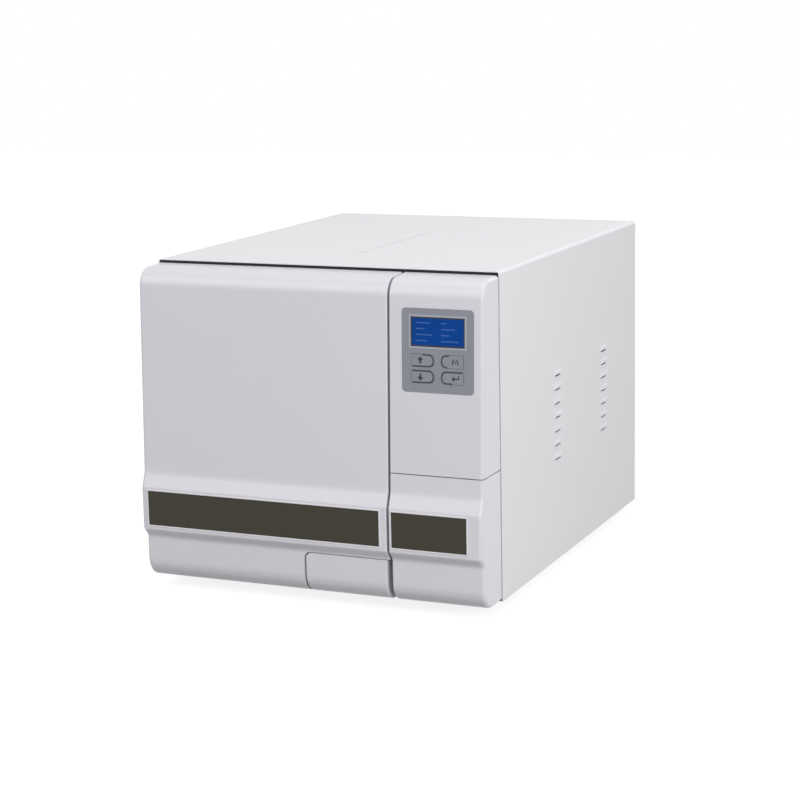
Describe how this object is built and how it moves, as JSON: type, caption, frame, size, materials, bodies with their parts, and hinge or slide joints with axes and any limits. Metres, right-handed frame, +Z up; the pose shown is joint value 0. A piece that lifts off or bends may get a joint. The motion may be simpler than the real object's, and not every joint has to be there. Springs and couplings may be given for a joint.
{
  "type": "benchtop steam autoclave",
  "caption": "Bench-top steam autoclave: steel case, side-hinged pressure door with pull handle, steam chamber with sliding trays, keypad with display, service flap and water tank hatch.",
  "frame": {"origin": "on the bench, under the middle of the whole machine", "axes": "+X to the viewer's right facing the door, +Y from the front to the back, +Z up"},
  "size_m": [0.446, 0.5874, 0.4],
  "materials": {
    "cover_enamel": "white powder coat",
    "pan_steel": "grey painted steel",
    "black_steel": "black painted steel",
    "foot_rubber": "black rubber",
    "vessel_steel": "drawn stainless steel",
    "jacket_felt": "insulating felt",
    "hinge_steel": "zinc plated steel",
    "front_moulding": "satin off-white moulding",
    "keypad_grey": "grey membrane panel",
    "lcd_blue": "blue lit display",
    "board_green": "circuit board",
    "tap_brass": "nickelled brass",
    "filter_plastic": "white filter body",
    "tank_plastic": "natural plastic",
    "pump_black": "black motor and pump",
    "fin_aluminium": "plain fins",
    "strip_gloss": "dark olive gloss strip",
    "liner_plastic": "grey liner",
    "gasket_silicone": "silicone seal"
  },
  "bodies": {
    "case": {"outer_cover": "cover_enamel", "base_pan": "pan_steel", "rear_panel": "cover_enamel", "front_bulkhead": "black_steel", "feet": "foot_rubber", "chamber": "vessel_steel", "chamber_flange": "vessel_steel", "chamber_jacket": "jacket_felt", "chamber_cradle": "pan_steel", "tray_rack": "vessel_steel", "hinge_low": "hinge_steel", "hinge_high": "hinge_steel", "latch_striker": "hinge_steel", "lock_solenoid": "hinge_steel", "control_fascia": "front_moulding", "keypad_panel": "keypad_grey", "lcd_window": "lcd_blue", "lcd_module": "board_green", "control_board": "board_green", "flap_hinge": "hinge_steel", "drain_taps": "tap_brass", "air_filter": "filter_plastic", "water_tank": "tank_plastic", "hatch_frame": "tank_plastic", "tank_stand": "pan_steel", "water_pump": "pump_black", "valve_block": "tap_brass", "main_board": "board_green", "fan_frame": "pump_black", "fan_guard": "hinge_steel", "condenser": "fin_aluminium", "vacuum_pump": "pump_black", "steam_generator": "vessel_steel", "relief_valve": "tap_brass", "mains_inlet": "pump_black"},
    "door": {"door_shell": "front_moulding", "door_strip": "strip_gloss", "door_liner": "liner_plastic", "door_yoke": "pan_steel", "pressure_disc": "vessel_steel", "door_gasket": "gasket_silicone", "disc_stud": "hinge_steel"},
    "handle": {"pull_handle": "front_moulding", "latch_arm": "hinge_steel"},
    "lock": {"lock_bolt": "hinge_steel"},
    "flap": {"service_flap": "front_moulding", "service_strip": "strip_gloss"},
    "lid": {"tank_lid": "cover_enamel"},
    "up": {"key_up": "keypad_grey"},
    "mode": {"key_mode": "keypad_grey"},
    "down": {"key_down": "keypad_grey"},
    "enter": {"key_enter": "keypad_grey"},
    "fan": {"fan_rotor": "pump_black"},
    "rocker": {"power_rocker": "pump_black"},
    "low_tray": {"tray_bottom": "vessel_steel"},
    "mid_tray": {"tray_middle": "vessel_steel"},
    "high_tray": {"tray_top": "vessel_steel"}
  },
  "joints": [
    {"name": "door_swing", "type": "hinge", "parent": "case", "child": "door", "pos_m": [-0.213, -0.24075, 0.21], "axis": [0, 0, -1], "range_deg": [0, 105]},
    {"name": "handle_pull", "type": "hinge", "parent": "door", "child": "handle", "pos_m": [-0.002, -0.28055, 0.039], "axis": [0, 0, -1], "range_deg": [0, 30], "stiffness_Nm_per_rad": 0.2},
    {"name": "lock_slide", "type": "slide", "parent": "case", "child": "lock", "axis": [-1, 0, 0], "range_m": [0, 0.008], "stiffness_N_per_m": 60},
    {"name": "flap_swing", "type": "hinge", "parent": "case", "child": "flap", "pos_m": [0.213, -0.24075, 0.092], "axis": [0, 0, 1], "range_deg": [0, 100]},
    {"name": "lid_lift", "type": "hinge", "parent": "case", "child": "lid", "pos_m": [0.0525, 0.08675, 0.3975], "axis": [-1, 0, 0], "range_deg": [0, 95]},
    {"name": "up_press", "type": "slide", "parent": "case", "child": "up", "axis": [0, 0.9993, -0.0363], "range_m": [0, 0.0008], "stiffness_N_per_m": 300},
    {"name": "mode_press", "type": "slide", "parent": "case", "child": "mode", "axis": [0, 0.9993, -0.0363], "range_m": [0, 0.0008], "stiffness_N_per_m": 300},
    {"name": "down_press", "type": "slide", "parent": "case", "child": "down", "axis": [0, 0.9993, -0.0363], "range_m": [0, 0.0008], "stiffness_N_per_m": 300},
    {"name": "enter_press", "type": "slide", "parent": "case", "child": "enter", "axis": [0, 0.9993, -0.0363], "range_m": [0, 0.0008], "stiffness_N_per_m": 300},
    {"name": "fan_spin", "type": "hinge", "parent": "case", "child": "fan", "pos_m": [0.14, 0.27625, 0.312], "axis": [0, 1, 0], "continuous": true},
    {"name": "rocker_tilt", "type": "hinge", "parent": "case", "child": "rocker", "pos_m": [0.14, 0.28625, 0.091], "axis": [1, 0, 0], "range_deg": [0, 16]},
    {"name": "low_tray_slide", "type": "slide", "parent": "case", "child": "low_tray", "axis": [0, -1, 0], "range_m": [0, 0.114]},
    {"name": "mid_tray_slide", "type": "slide", "parent": "case", "child": "mid_tray", "axis": [0, -1, 0], "range_m": [0, 0.114]},
    {"name": "high_tray_slide", "type": "slide", "parent": "case", "child": "high_tray", "axis": [0, -1, 0], "range_m": [0, 0.114]}
  ],
  "couplings": [
    {"joint": "low_tray_slide", "follows": "door_swing", "m_per_rad": 0.062},
    {"joint": "mid_tray_slide", "follows": "door_swing", "m_per_rad": 0.062},
    {"joint": "high_tray_slide", "follows": "door_swing", "m_per_rad": 0.062}
  ]
}
